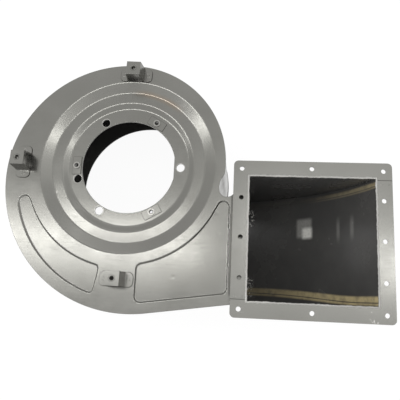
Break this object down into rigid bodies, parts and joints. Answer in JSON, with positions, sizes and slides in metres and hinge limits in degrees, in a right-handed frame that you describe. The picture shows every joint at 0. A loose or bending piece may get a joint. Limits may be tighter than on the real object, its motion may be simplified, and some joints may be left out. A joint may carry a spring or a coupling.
{
  "type": "blower housing",
  "caption": "Centrifugal blower housing of sheet steel: a scroll with a stepped round inlet, and an elbow that turns the air up to a square bolted outlet flange.",
  "frame": {"origin": "where the fan axis meets the outer face of the back plate, on which the housing lies", "axes": "+Z along the fan axis, out of the inlet; +X towards the outlet elbow"},
  "size_m": [0.6045, 0.4035, 0.219],
  "materials": {
    "grey_paint": "satin silver-grey metallic paint",
    "dark_primer": "glossy black primer inside"
  },
  "bodies": {
    "root": {"front_plate": "grey_paint", "back_plate": "grey_paint", "scroll_wrapper": "grey_paint", "tongue_sheet": "grey_paint", "elbow_cheek_upper": "grey_paint", "elbow_cheek_lower": "grey_paint", "elbow_back": "dark_primer", "elbow_throat": "dark_primer", "flange_upper": "grey_paint", "flange_lower": "grey_paint", "bracket_top": "grey_paint", "bracket_left": "grey_paint", "bracket_bottom": "grey_paint", "inlet_anchor_nuts": "grey_paint", "bracket_nuts": "grey_paint"}
  },
  "joints": []
}
